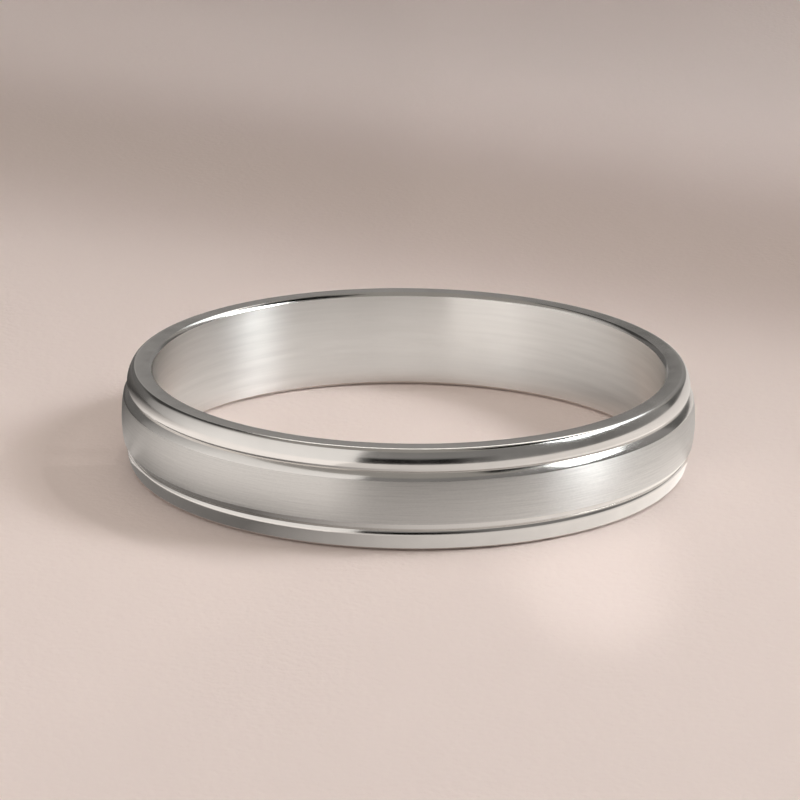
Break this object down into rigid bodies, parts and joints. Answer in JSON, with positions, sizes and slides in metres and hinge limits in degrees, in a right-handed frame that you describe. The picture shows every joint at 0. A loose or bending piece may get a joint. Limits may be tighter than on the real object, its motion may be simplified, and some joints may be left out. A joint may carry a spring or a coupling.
{
  "type": "wedding band",
  "caption": "Plain finger ring in white metal: a raised, brushed centre between polished sloping shoulders, lower rounded polished rails, flat end faces, small bore chamfers and a gently domed comfort-fit bore.",
  "frame": {"origin": "middle of the flat end face that the band stands on, on the axis of the finger hole", "axes": "+Z along the axis of the finger hole, from the end face it stands on to the other; X and Y are alike"},
  "size_m": [0.0228, 0.0228, 0.004],
  "materials": {
    "white_metal": "high polish on the rails, shoulders, end faces and bore; fine brushing round the raised centre"
  },
  "bodies": {
    "root": {"band": "white_metal"}
  },
  "joints": []
}
